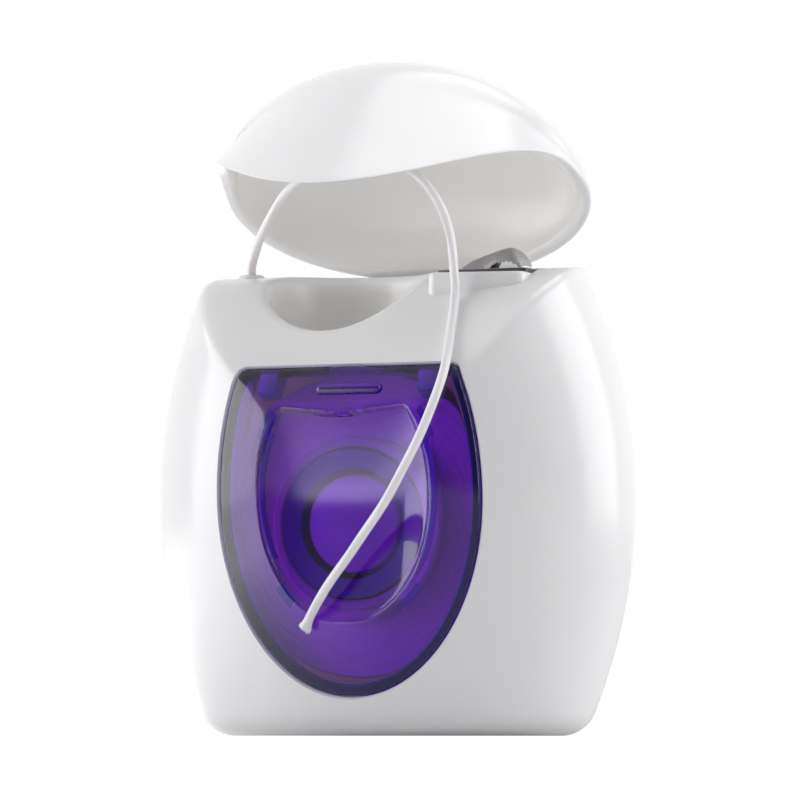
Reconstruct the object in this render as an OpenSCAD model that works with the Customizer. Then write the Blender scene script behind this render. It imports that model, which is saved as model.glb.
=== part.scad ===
/* [Case] */
// Width across the belly of the case
belly_w = 50; // [44:0.5:56]
// Width at the top of the case, where the lid sits
shoulder_w = 39.2; // [34:0.2:42]
// Height of the flat part of the deck above the base
deck_z = 46.3; // [44:0.1:48]
// Height of the shut dispenser
shut_h = 55; // [54:0.2:57]
// Depth in front of the widest line of the case
front_d = 15.4; // [14:0.1:17]
// Depth behind the widest line of the case
rear_d = 10.5; // [9.5:0.1:12]
// Where the flat of the back cuts it off
back_y = 9; // [8.6:0.1:9.3]
// How far the front draws in towards the base
front_taper = 3.6; // [2:0.1:5]
// Wall of the case and lid
wall = 1.3; // [1:0.1:1.5]
// Radius around the base
base_r = 2.2; // [1.5:0.1:3]

/* [Lid] */
// Angle of the lid from shut, as it rests
lid_open = 46; // [20:1:90]
// Gap between the lid's rim and the deck when shut
rim_gap = 0.25; // [0.15:0.05:0.4]
// Width of the film hinge
hinge_w = 14; // [8:0.5:20]

/* [Window] */
// Half width of the window
win_w = 13.7; // [12:0.1:14.5]
// Lowest point of the window
win_low = 3.9; // [3.5:0.1:6]
// Height of its straight top edge
win_top = 35.9; // [35:0.1:38]
// Half width of the dish in the window
dish_w = 9.1; // [8:0.1:10]
// Half height of the dish
dish_h = 12.7; // [11:0.1:13]

/* [Spool] */
// Height of the spool's axis
axis_z = 20.7; // [19:0.1:22]
// Outer radius of the hub tube
hub_r = 7.4; // [7:0.1:8]
// Inner radius of the hub tube
hub_bore = 5.5; // [4.5:0.1:6]
// Outer radius of the spool's core
core_r = 8.7; // [8.4:0.1:9.5]
// Outer radius of the wound floss
wound_r = 15; // [12:0.5:16]

/* [Floss and cutter] */
// Diameter of the floss
floss_d = 0.9; // [0.7:0.05:1.1]
// Thickness of the cutter's steel
steel = 0.3; // [0.2:0.05:0.4]

/* [Hidden] */

// Widest line of the case, and the place where the dome of the lid closes
belly_y = -0.8;
apex_y = -4;
// Hinge axis, parallel to X
hinge_y = back_y - 0.1;
hinge_z = deck_z + 0.3;
dome_h = shut_h - deck_z;
// Fit between the window and the case, and running clearance of the spool
fit_gap = 0.1;
run_gap = 0.2;
// Floor of the dish in the window, as points of Y and Z from its top to its bottom
dish_floor = [[-16.6, 31.8], [-15.4, 31.2], [-14.4, 29.2], [-13.7, 26.6], [-13.4, 23.5], [-13.3, 20], [-13.5, 16.5],
    [-13.9, 13.5], [-14.5, 11.4], [-15.5, 10]];
dish_back = -13;
dish_z = 23.5;
cover_t = 1.2;
hub_back = 6.8;
core_front = -11.8;
core_back = 6.6;
post_r = 4.9;
post_front = -11.2;
wound_front = -9.3;
wound_back = 5.3;
// Thumb scoop in the deck
scoop_at = [-3.7, -4.5, 44.7];
scoop_r = 8;
scoop_floor = 38.6;
// Hole where the floss leaves
exit_at = [-16.2, 0];
exit_r = 0.8;
// Block under the cutter, and the pocket in the deck behind it
pad_top = 45.4;
pad_back = -1;
pad_corners = [[7.2, -7.7], [14.9, -6.2], [14.9, 0], [7.2, 0]];
pad_r = 1;
pad_low = 41.5;

// Half width, front depth and rear depth of the outside at height z, drawn in by t
function part_of(z, t) = (z - deck_z) / (dome_h - t);
function dome(s, p, q) = pow(max(0, 1 - pow(s, p)), 1 / q);
function fillet(z, t) = let(r = base_r, h = z - t) h >= r ? 0 : r - sqrt(r * r - (r - h) * (r - h));
function belly(z) = belly_w / 2 - (belly_w - shoulder_w) / 2 * pow((2 * z - deck_z) / deck_z, 2);
function half_w(z, t) = z <= deck_z ? belly(z) - t - fillet(z, t) : (shoulder_w / 2 - t) * dome(part_of(z, t), 2, 1.6);
function mid_y(z, t) = z <= deck_z ? belly_y : belly_y + (apex_y - belly_y) * sqrt(part_of(z, t));
function front_y(z, t) = z <= deck_z
    ? belly_y - front_d + front_taper * pow(max(0, 30 - z) / 27, 2) + t + fillet(z, t)
    : apex_y - (apex_y - belly_y + front_d - t) * dome(part_of(z, t), 2.6, 2.3);
function rear_y(z, t) = z <= deck_z
    ? belly_y + rear_d - t - fillet(z, t)
    : apex_y + (belly_y - apex_y + rear_d - t) * dome(part_of(z, t), 1.8, 1.8);
function ring(z, t, n) = let(w = half_w(z, t), m = mid_y(z, t), f = front_y(z, t), b = rear_y(z, t))
    [for (i = [0:n - 1]) let(a = 360 * i / n) [w * sin(a), min(m + (cos(a) > 0 ? f - m : m - b) * cos(a), back_y - t), z]];

// A solid through a stack of rings, each with the same number of points
module loft(rings) {
    n = len(rings[0]);
    m = len(rings);
    polyhedron(
        points = [for (r = rings) each r],
        faces = concat(
            [[for (i = [0:n - 1]) i]],
            [[for (i = [n - 1:-1:0]) (m - 1) * n + i]],
            [for (j = [0:m - 2], i = [0:n - 1]) [(j + 1) * n + i, (j + 1) * n + (i + 1) % n, j * n + (i + 1) % n]],
            [for (j = [0:m - 2], i = [0:n - 1]) [(j + 1) * n + i, j * n + (i + 1) % n, j * n + i]]));
}

// Heights of the rings: round the base, up the belly, over the dome
function case_rings(t) = concat([for (a = [0:22.5:90]) t + base_r * (1 - cos(a))], [for (z = [5.5:4:46]) z], [deck_z]);
function dome_rings(t) = [for (a = [9:9:81]) deck_z + (dome_h - t) * sin(a)];
module case_form(t, n) { loft([for (z = case_rings(t)) ring(z, t, n)]); }
module lid_form(t, n) {
    top = deck_z + (dome_h - t) * 0.998;
    loft([for (z = concat([for (z = [26:3:44]) z], [deck_z], dome_rings(t), [top])) ring(z, t, n)]);
}

// Deck: flat at the back, rolling down to the front. Everything below it is the case, above it the lid
roll_y = 5.8;
roll_drop = 0.78;
roll_power = 3.9;
function deck(y) = deck_z - roll_drop * pow(max(0, roll_y - y) / 10, roll_power);
deck_steps = [for (y = [-18:0.75:-9]) y, for (y = [-7.5:2.5:5]) y];
module along_x(h) { rotate([90, 0, 90]) linear_extrude(h, center = true) children(); }
module along_y(y0, y1) { translate([0, y1, 0]) rotate([90, 0, 0]) linear_extrude(y1 - y0) children(); }
// A point of the deck at depth y, raised square to the surface
function deck_at(y, rise) = let(s = roll_drop * roll_power / 10 * pow(max(0, roll_y - y) / 10, roll_power - 1), n = sqrt(1 + s * s))
    [y - rise * s / n, deck(y) + rise / n];
module below_deck(drop) {
    along_x(70) polygon(concat([[30, -5], [-25, -5]], [for (y = deck_steps) deck_at(y, -drop)], [[30, deck_z - drop]]));
}
module above_deck(rise) {
    along_x(70) polygon(concat([[30, 70], [-25, 70]], [for (y = deck_steps) deck_at(y, rise)], [[30, deck_z + rise]]));
}

// Window outline in X and Z: an oval cut straight across its top
win_z = 23.3;
win_rise = 20.7;
function win_half(z) = win_w * sqrt(1 - pow((z - win_z) / (z < win_z ? win_z - win_low : win_rise), 2));
module window_outline(grow) {
    w = win_w + grow;
    corner = win_half(win_top);
    side = concat(
        [for (a = [0:7.5:90]) [w * sin(a), win_z - (win_z - win_low + grow) * cos(a)]],
        [for (z = [26:2.5:33.5]) [win_half(z) + grow, z]],
        [[corner + 0.35 + grow, win_top - 1.7], [corner + 0.1 + grow, win_top - 0.5 + grow], [corner - 0.5, win_top + grow]]);
    polygon(concat(side, [for (i = [len(side) - 1:-1:1]) [-side[i][0], side[i][1]]]));
}
module dish_outline(grow) {
    polygon([for (a = [0:10:350]) [(dish_w + grow) * sin(a), dish_z + (dish_h + grow) * cos(a)]]);
}

// The one-piece moulding's lower half, with its deck, scoop, cutter block and spool stop
module case_body() color("whitesmoke") difference() {
    union() {
        difference() {
            intersection() {
                case_form(0, 64);
                below_deck(0);
            }
            difference() {
                intersection() {
                    case_form(wall, 48);
                    below_deck(wall);
                }
                scoop(wall);
                spool_stop();
            }
            along_y(-20, -8) window_outline(fit_gap);
            translate([pad_corners[0][0] - pad_r, -20, pad_top])
                cube([pad_corners[1][0] - pad_corners[0][0] + 2 * pad_r, 20 + pad_back, 3]);
        }
        cutter_block();
        floss_guide();
    }
    scoop(0);
    translate([exit_at[0], exit_at[1], 40]) cylinder(r = exit_r, h = 10, $fn = 32);
}
// Bowl for the thumb, with a flat floor and upright sides near the deck
module scoop(t) {
    r = scoop_r + t;
    low = scoop_at[2] - scoop_floor + t;
    translate(scoop_at) rotate_extrude($fn = 64)
        polygon(concat([[0, -low]], [for (k = [5:-1:0]) let(a = asin(low / r) * k / 5) [r * cos(a), -r * sin(a)]],
            [[r, 5], [0, 5]]));
}
// Ring on the rear wall that keeps the spool on its hub, and the post that the hub slides over
module spool_stop() {
    translate([0, 15, axis_z]) rotate([90, 0, 0]) {
        difference() {
            cylinder(r = core_r, h = 15 - core_back - run_gap, $fn = 48);
            translate([0, 0, -1]) cylinder(r = hub_r + 0.1, h = 30, $fn = 48);
        }
        cylinder(r = post_r, h = 15 - post_front, $fn = 48);
    }
}
// Raised block that the steel cutter is clipped to
module cutter_block() {
    hull() for (p = pad_corners) translate([p[0], p[1], pad_low]) {
        cylinder(r = pad_r, h = pad_top - 0.3 - pad_low, $fn = 32);
        cylinder(r = pad_r - 0.3, h = pad_top - pad_low, $fn = 32);
    }
}
// Low collar round the hole where the floss comes out
module floss_guide() {
    translate([exit_at[0], exit_at[1], deck_z - 0.6]) cylinder(r = 1.3, h = 0.8, $fn = 40);
}

// Hood over the deck, at its open rest
module lid() color("whitesmoke") at_hinge(-lid_open) difference() {
    intersection() {
        lid_form(0, 64);
        above_deck(rim_gap);
    }
    lid_form(wall, 48);
}
module at_hinge(a) { translate([0, hinge_y, hinge_z]) rotate([a, 0, 0]) translate([0, -hinge_y, -hinge_z]) children(); }

// Thin web that joins the lid to the case along the back
module living_hinge() color("white") {
    along_x(hinge_w) polygon([[back_y - 0.6, deck_z], [back_y - 0.04, deck_z], [back_y - 0.09, deck_z + 0.17],
        [back_y - 0.35, deck_z + 0.43]]);
}

// Tinted cover with the dish, the hub tube that carries the spool, a catch bead and snap lugs
module window_cover() color("rebeccapurple", 0.8) union() {
    difference() {
        intersection() {
            union() {
                difference() {
                    case_form(0, 64);
                    case_form(cover_t, 48);
                    dish_cut();
                }
                cover_deck();
                skirt();
                dish_wall();
            }
            case_form(0, 64);
            below_deck(0);
            along_y(-20, -7.5) window_outline(0);
        }
        dish_cut();
    }
    hub();
    catch_bead();
    snap_lugs();
}
module dish_cut() {
    intersection() {
        along_y(-20, -10) dish_outline(0);
        along_x(30) polygon(concat([[-20, 34]], dish_floor, [[-20, 8]]));
    }
}
module dish_wall() {
    intersection() {
        along_y(-20, -10) dish_outline(cover_t);
        along_x(30) polygon(concat([[-20, 35]], [for (p = dish_floor) p + [cover_t, 0]], [[-20, 7]]));
    }
}
module cover_deck() {
    difference() {
        below_deck(0);
        below_deck(cover_t);
    }
}
module skirt() {
    along_y(-16, -10.2) difference() {
        window_outline(0);
        window_outline(-0.9);
    }
}
module hub() {
    translate([0, hub_back, axis_z]) rotate([90, 0, 0]) difference() {
        cylinder(r = hub_r, h = hub_back - dish_back, $fn = 64);
        translate([0, 0, -1]) cylinder(r = hub_bore, h = 0.1 + hub_back - dish_back, $fn = 64);
    }
}
module catch_bead() {
    hull() for (x = [-2.4, 3.4]) translate([x, -14.35, 33.5]) sphere(0.5, $fn = 16);
}
module snap_lugs() {
    for (x = [-8.4, 8.4]) translate([x, 0, 0]) along_x(2) polygon([[-13.6, 33.4], [-12.2, 32.6], [-10.6, 35.2],
        [-10.6, 37], [-11.3, 37], [-12.2, 35.7], [-13.2, 35.3]]);
}

// Tube that the floss is wound on, turning on the hub
module bobbin_core() color("gainsboro") translate([0, core_back, axis_z]) rotate([90, 0, 0]) difference() {
    cylinder(r = core_r, h = core_back - core_front, $fn = 64);
    translate([0, 0, -1]) cylinder(r = hub_r + run_gap, h = 30, $fn = 64);
}
module floss_winding() color("white") translate([0, wound_back, axis_z]) rotate([90, 0, 0]) difference() {
    rotate_extrude($fn = 72) polygon([[core_r, 0], [wound_r - 0.8, 0], [wound_r, 0.8], [wound_r, wound_back - wound_front - 0.8],
        [wound_r - 0.8, wound_back - wound_front], [core_r, wound_back - wound_front]]);
}

// Routes of the floss, from the spool to the hole and from the hole to its free end
feed_route = [[-15.7, -1, 20.7], [-15.9, -1, 24], [-16, -0.9, 27], [-16.1, -0.7, 31], [-16.2, -0.4, 35], [-16.2, -0.1, 39],
    [-16.2, 0, 42], [-16.2, 0, 45], [-16.2, 0, 46.3]];
free_route = [[-16.2, 0, 46.3], [-16.1, -0.3, 47.4], [-15.3, -1.1, 48.8], [-14.2, -2.2, 50.3], [-13, -3.2, 51.6],
    [-11.9, -4.1, 52.7], [-10.4, -5.2, 54], [-8.9, -6.1, 54.9], [-6.7, -7.2, 56], [-4.1, -8.4, 56.7], [-0.8, -9.5, 57],
    [2, -10.3, 56.7], [4.5, -10.9, 55.9], [6.5, -11.3, 54.6], [7.8, -11.3, 53.2], [8.7, -11, 51.6], [9.2, -10.5, 49.9],
    [9.4, -9.8, 47.9], [9.4, -9.4, 45.5], [9.4, -9.5, 42.9], [9.8, -11.5, 40.7], [10, -12.5, 39.3], [10.3, -14.1, 36.4],
    [9.9, -15.2, 33.9], [9, -15.7, 31], [8, -16, 28.5], [6.5, -16.2, 24.5], [4.9, -16.3, 21.8], [3.1, -16.3, 19.4],
    [1.5, -16.1, 17.2], [-0.1, -15.9, 15.1], [-1.7, -15.6, 13.2], [-3, -15.2, 11.6], [-3.8, -15, 10.5]];

// A tube of eight sides swept along a route
function unit(v) = v / norm(v);
function along(route, i) = unit(route[min(i + 1, len(route) - 1)] - route[max(i - 1, 0)]);
function tube_ring(p, d, r, n) = let(u = unit(cross(d, [0.3, 1, 0.1])), v = cross(d, u))
    [for (k = [0:n - 1]) p + r * (u * cos(360 * k / n) + v * sin(360 * k / n))];
module tube(route, d) { loft([for (i = [0:len(route) - 1]) tube_ring(route[i], along(route, i), d / 2, 8)]); }
module floss_feed_run() color("white") tube(feed_route, floss_d);
module floss_strand() color("white") tube(free_route, floss_d);

// Stamped steel plate, and the side view of the cutting tongue raised from it
tongue = [[7.7, 0], [8.5, 1.2], [9.3, 1.5], [13, 2.4], [13.7, 2.1], [14.1, 1.4], [14.2, 0], [13.9, 0], [13.8, 1.3],
    [13.5, 1.8], [13, 2.07], [9.4, 1.2], [8.7, 0.9], [8.1, 0]];
module cutter_blade() color("silver") {
    translate([6.3, -6, pad_top]) cube([9.5, 4.7, steel]);
    translate([0, -2, pad_top]) rotate([90, 0, 0]) linear_extrude(2.8) polygon(tongue);
}

case_body();
lid();
living_hinge();
window_cover();
bobbin_core();
floss_winding();
floss_feed_run();
floss_strand();
cutter_blade();
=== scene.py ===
import math
import bmesh
import bpy
import numpy as np
from mathutils import Matrix, Vector


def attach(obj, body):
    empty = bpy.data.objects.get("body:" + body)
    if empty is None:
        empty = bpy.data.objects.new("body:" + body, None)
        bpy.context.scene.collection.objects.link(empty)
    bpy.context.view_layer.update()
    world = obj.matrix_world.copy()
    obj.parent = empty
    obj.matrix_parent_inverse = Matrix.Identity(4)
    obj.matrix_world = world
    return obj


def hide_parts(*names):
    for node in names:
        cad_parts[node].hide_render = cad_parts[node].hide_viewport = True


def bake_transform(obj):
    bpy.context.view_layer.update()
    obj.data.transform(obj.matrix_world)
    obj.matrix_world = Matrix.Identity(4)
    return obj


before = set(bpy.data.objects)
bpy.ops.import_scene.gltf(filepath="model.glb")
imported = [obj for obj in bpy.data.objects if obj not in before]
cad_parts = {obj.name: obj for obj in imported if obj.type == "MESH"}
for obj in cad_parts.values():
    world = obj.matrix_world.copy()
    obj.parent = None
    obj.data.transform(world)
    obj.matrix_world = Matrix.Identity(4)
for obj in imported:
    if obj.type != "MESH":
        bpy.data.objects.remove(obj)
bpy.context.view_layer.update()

# Pocket floss dispenser, lid open, with a length of floss pulled out over its window.
# Shapes are worked in millimetres and scaled to metres when a piece is finished.
mm = 0.001
print("frame: loaded", len(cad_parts), "nodes")

cameraView = {"azimuth": 22, "elevation": -3.6, "distance": 520, "aim": (0, 0, 33.5), "lens": 234}


def addCamera(view):
    turn, tilt = math.radians(view["azimuth"]), math.radians(view["elevation"])
    back = Vector((math.sin(turn) * math.cos(tilt), -math.cos(turn) * math.cos(tilt), math.sin(tilt)))
    camera = bpy.data.objects.new("camera", bpy.data.cameras.new("camera"))
    camera.data.sensor_width = 36
    camera.data.lens = view["lens"]
    camera.data.clip_start, camera.data.clip_end = 0.02, 30
    camera.location = (Vector(view["aim"]) + back * view["distance"]) * mm
    camera.rotation_euler = (-back).to_track_quat("-Z", "Y").to_euler()
    bpy.context.scene.collection.objects.link(camera)
    bpy.context.scene.camera = camera


addCamera(cameraView)
print("camera: set")


# Paths of points, as numpy arrays with one point a row
def pathLengths(points):
    return np.concatenate([[0], np.cumsum(np.linalg.norm(np.diff(points, axis=0), axis=1))])


def resample(points, distances):
    along = pathLengths(points)
    return np.stack([np.interp(distances, along, points[:, k]) for k in range(points.shape[1])], 1)


def roundedPath(runs, radii, counts, roundSteps):
    # joins runs that meet at corners, rounds the corners and gives every path the same number of points
    spans = [pathLengths(r)[-1] for r in runs]
    trims = [0] + [min(radii[k], 0.45 * spans[k], 0.45 * spans[k + 1]) for k in range(len(runs) - 1)] + [0]
    path = []
    for k, run in enumerate(runs):
        part = resample(run, np.linspace(trims[k], spans[k] - trims[k + 1], counts[k] + 1))
        if k:
            start, corner, end = path[-1], run[0], part[0]
            for s in np.linspace(0, 1, roundSteps + 1)[1:-1]:
                path.append((1 - s) ** 2 * start + 2 * s * (1 - s) * corner + s * s * end)
        path.extend(part)
    return np.array(path)


def smoothCurve(points, perSpan):
    # Catmull-Rom curve through the points
    p = np.array(points, float)
    p = np.vstack([2 * p[0] - p[1], p, 2 * p[-1] - p[-2]])
    out = []
    for k in range(1, len(p) - 2):
        before, here, after, beyond = p[k - 1:k + 3]
        for s in np.linspace(0, 1, perSpan, endpoint=False):
            bend = (2 * before - 5 * here + 4 * after - beyond) * s ** 2
            skew = (3 * here - before - 3 * after + beyond) * s ** 3
            out.append(0.5 * (2 * here + (after - before) * s + bend + skew))
    return np.array(out + [p[-2]])


# Meshes
def wrapColumns(columns):
    # a grid whose columns follow the given paths, with the last column joined to the first
    across, up = len(columns), len(columns[0]) - 1
    wrapped = list(columns) + [columns[0]]
    bm = bmesh.new()
    bmesh.ops.create_grid(bm, x_segments=across, y_segments=up, size=0.5, calc_uvs=True)
    for v in bm.verts:
        i, j = round((v.co.x + 0.5) * across), round((v.co.y + 0.5) * up)
        v.co = wrapped[i][j]
    bmesh.ops.remove_doubles(bm, verts=bm.verts, dist=1e-4)
    bmesh.ops.recalc_face_normals(bm, faces=bm.faces)
    return bm


def addInto(bm, other, flip=False):
    # copies another bmesh into this one, turned inside out if asked, as the inner wall of a shell is
    if flip:
        bmesh.ops.reverse_faces(other, faces=other.faces)
    carrier = bpy.data.meshes.new("carrier")
    other.to_mesh(carrier)
    other.free()
    bm.from_mesh(carrier)
    bpy.data.meshes.remove(carrier)


def bmeshOf(piece):
    bm = bmesh.new()
    bm.from_mesh(piece.data)
    return bm


def toMetres(bm):
    # scales from millimetres, and shades smooth
    bmesh.ops.scale(bm, vec=(mm, mm, mm), verts=bm.verts)
    for f in bm.faces:
        f.smooth = True


def spinProfile(outline, centre, axis, steps):
    # a closed outline of points, each (distance from the axis, place along it), turned once round
    side = Vector((1, 0, 0))
    bm = bmesh.new()
    ring = [bm.verts.new(Vector(centre) + side * r + Vector(axis) * h) for r, h in outline]
    edges = [bm.edges.new(pair) for pair in zip(ring, ring[1:] + ring[:1])]
    bmesh.ops.spin(bm, geom=ring + edges, cent=centre, axis=axis, angle=math.tau, steps=steps, use_merge=True)
    bmesh.ops.remove_doubles(bm, verts=bm.verts, dist=1e-4)
    bmesh.ops.recalc_face_normals(bm, faces=bm.faces)
    return bm


def extrudeAll(bm, way):
    # gives a flat outline its thickness
    grown = bmesh.ops.extrude_face_region(bm, geom=list(bm.faces), use_keep_orig=True)
    moved = [g for g in grown["geom"] if isinstance(g, bmesh.types.BMVert)]
    bmesh.ops.translate(bm, verts=moved, vec=way)
    bmesh.ops.recalc_face_normals(bm, faces=bm.faces)


def roundedBlock(corners, low, high, cornerRadius, edgeRadius):
    # a plate cut to the corners in plan, with rounded corners and a rounded top edge
    bm = bmesh.new()
    bm.faces.new([bm.verts.new((x, y, low)) for x, y in corners])
    bmesh.ops.bevel(bm, geom=list(bm.verts), offset=cornerRadius, offset_type="OFFSET", segments=8,
                    profile=0.5, affect="VERTICES", material=-1)
    extrudeAll(bm, (0, 0, high - low))
    rim = [e for e in bm.edges if all(v.co.z > high - 1e-4 for v in e.verts)]
    bmesh.ops.bevel(bm, geom=rim, offset=edgeRadius, segments=4, profile=0.5, affect="EDGES", material=-1)
    return bm


def makePiece(name, bm, materials, sharp=35):
    # edges sharper than the angle stay crisp
    toMetres(bm)
    mesh = bpy.data.meshes.new(name)
    bm.to_mesh(mesh)
    bm.free()
    for m in materials:
        mesh.materials.append(m)
    mesh.set_sharp_from_angle(angle=math.radians(sharp))
    piece = bpy.data.objects.new(name, mesh)
    bpy.context.scene.collection.objects.link(piece)
    return piece


def cutOrJoin(piece, bm, operation):
    # one Boolean with a tool made in millimetres, applied at once
    toMetres(bm)
    toolMesh = bpy.data.meshes.new("tool")
    bm.to_mesh(toolMesh)
    bm.free()
    tool = bpy.data.objects.new("tool", toolMesh)
    bpy.context.scene.collection.objects.link(tool)
    step = piece.modifiers.new(operation.lower(), "BOOLEAN")
    step.operation, step.solver, step.object = operation, "EXACT", tool
    bpy.context.view_layer.update()
    depsgraph = bpy.context.evaluated_depsgraph_get()
    result = bpy.data.meshes.new_from_object(piece.evaluated_get(depsgraph))
    piece.modifiers.clear()
    piece.data = result
    bpy.data.objects.remove(tool)


# Materials
def srgb(code):
    parts = [int(code[k:k + 2], 16) / 255 for k in (1, 3, 5)]
    return tuple(c / 12.92 if c <= 0.04045 else ((c + 0.055) / 1.055) ** 2.4 for c in parts) + (1,)


def addNode(tree, kind, settings=None, inputs=None, links=None):
    node = tree.nodes.new(kind)
    for key, value in (settings or {}).items():
        setattr(node, key, value)
    for key, value in (inputs or {}).items():
        node.inputs[key].default_value = value
    for key, source in (links or {}).items():
        tree.links.new(source, node.inputs[key])
    return node


def newMaterial(name):
    material = bpy.data.materials.new(name)
    material.use_nodes = True
    material.node_tree.nodes.clear()
    return material, material.node_tree


def setOutput(tree, surface, volume=None):
    out = addNode(tree, "ShaderNodeOutputMaterial", links={"Surface": surface})
    if volume:
        tree.links.new(volume, out.inputs["Volume"])


def objectPlace(tree):
    return addNode(tree, "ShaderNodeTexCoord").outputs["Object"]


def noiseOf(tree, place, scale, detail, roughness=0.5):
    noise = addNode(tree, "ShaderNodeTexNoise", links={"Vector": place},
                    inputs={"Scale": scale, "Detail": detail, "Roughness": roughness})
    return noise.outputs["Fac"]


def bumpOf(tree, height, strength, distance):
    bump = addNode(tree, "ShaderNodeBump", inputs={"Strength": strength, "Distance": distance},
                   links={"Height": height})
    return bump.outputs["Normal"]


def rangeOf(tree, value, low, high):
    spread = addNode(tree, "ShaderNodeMapRange", inputs={"To Min": low, "To Max": high},
                     links={"Value": value})
    return spread.outputs["Result"]


def rampOf(tree, factor, stops):
    ramp = addNode(tree, "ShaderNodeValToRGB", links={"Fac": factor})
    while len(ramp.color_ramp.elements) < len(stops):
        ramp.color_ramp.elements.new(0.5)
    for element, (at, code) in zip(ramp.color_ramp.elements, stops):
        element.position, element.color = at, srgb(code)
    return ramp.outputs["Color"]


# The outer faces are polished. The inner ones and the scoop's bowl glow a little with light that comes
# through the wall, and their warmer white is painted glow
outerWhite = {"light": "#f6f6f8", "shade": "#f3f3f5", "roughness": 0.2, "soak": 0.12, "soakDepth": 0.0012}
paintedGlowWhite = {"light": "#fbf8f5", "shade": "#f8f4f1", "roughness": 0.25, "soak": 0.8, "soakDepth": 0.003}


def polypropylene(name, look):
    # polypropylene, injection moulded in a polished tool: an even milky white, a soft clear gloss with the
    # faint ripple of shrinkage, and light that sinks a little way in at thin edges
    material, tree = newMaterial(name)
    place = objectPlace(tree)
    cloud, fine, ripple = (noiseOf(tree, place, *size) for size in [(90, 2), (4500, 3), (130, 1)])
    rough = look["roughness"]
    shader = addNode(tree, "ShaderNodeBsdfPrincipled",
                     inputs={"IOR": 1.49, "Subsurface Weight": look["soak"],
                             "Subsurface Scale": look["soakDepth"], "Subsurface Radius": (1.0, 0.95, 0.9)},
                     links={"Base Color": rampOf(tree, cloud, [(0.3, look["shade"]), (0.7, look["light"])]),
                            "Roughness": rangeOf(tree, fine, rough - 0.02, rough + 0.03),
                            "Normal": bumpOf(tree, ripple, 0.08, 0.0001)})
    setOutput(tree, shader.outputs["BSDF"])
    return material


whitePolypropylene = polypropylene("whitePolypropylene", outerWhite)
paintedGlowPolypropylene = polypropylene("paintedGlowPolypropylene", paintedGlowWhite)

tintedClear = {"absorb": (0.6, 0.0, 0.95), "density": 1300, "roughness": 0.08, "smoke": "#e8d0e2"}


def tintedPolystyrene(name):
    # clear polystyrene with a violet dye and a little smoke: glassy, lavender where it is thin and navy where
    # one looks along a wall. Lamps reach through it to what is inside, as they do through a thin real window
    material, tree = newMaterial(name)
    flow = noiseOf(tree, objectPlace(tree), 110, 1)
    glass = addNode(tree, "ShaderNodeBsdfPrincipled",
                    inputs={"Base Color": srgb(tintedClear["smoke"]), "Transmission Weight": 1.0, "IOR": 1.57,
                            "Roughness": tintedClear["roughness"]},
                    links={"Normal": bumpOf(tree, flow, 0.15, 0.0001)})
    through = addNode(tree, "ShaderNodeBsdfTransparent", inputs={"Color": (1, 1, 1, 1)})
    ray = addNode(tree, "ShaderNodeLightPath")
    mix = addNode(tree, "ShaderNodeMixShader",
                  links={0: ray.outputs["Is Shadow Ray"], 1: glass.outputs["BSDF"],
                         2: through.outputs["BSDF"]})
    dye = addNode(tree, "ShaderNodeVolumeAbsorption",
                  inputs={"Color": (*tintedClear["absorb"], 1), "Density": tintedClear["density"]})
    setOutput(tree, mix.outputs["Shader"], dye.outputs["Volume"])
    return material


violetPolystyrene = tintedPolystyrene("violetPolystyrene")


def paintedShadePolystyrene(name):
    # an opaque deep violet with a soft gloss, a painted shade that stands in for the dark look of the dye
    # where light runs a long way through thick parts
    material, tree = newMaterial(name)
    cloud = noiseOf(tree, objectPlace(tree), 300, 2)
    shader = addNode(tree, "ShaderNodeBsdfPrincipled", inputs={"IOR": 1.57, "Roughness": 0.35},
                     links={"Base Color": rampOf(tree, cloud, [(0.3, "#6f50aa"), (0.7, "#7a5ab8")])})
    setOutput(tree, shader.outputs["BSDF"])
    return material


paintedShadeViolet = paintedShadePolystyrene("paintedShadeVioletPolystyrene")


def spoolPlastic(name):
    # high impact polystyrene, moulded: matt and very slightly grey
    material, tree = newMaterial(name)
    grain = noiseOf(tree, objectPlace(tree), 2500, 3)
    shader = addNode(tree, "ShaderNodeBsdfPrincipled", inputs={"IOR": 1.5, "Roughness": 0.5},
                     links={"Base Color": rampOf(tree, grain, [(0.3, "#dcdcdc"), (0.7, "#e6e6e6")]),
                            "Normal": bumpOf(tree, grain, 0.15, 0.00003)})
    setOutput(tree, shader.outputs["BSDF"])
    return material


matteSpool = spoolPlastic("matteSpoolPolystyrene")

# Filaments are 0.02 mm thick, too fine to show: they are drawn as 22 streaks round the yarn.
# A streak runs 2.5 mm, and the yarn turns 1.2 times in 10 mm
waxedYarn = {"streaks": 22, "streakRun": 2.5, "twist": 1.2, "light": "#fdfcff", "shade": "#eae9f0"}


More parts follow.
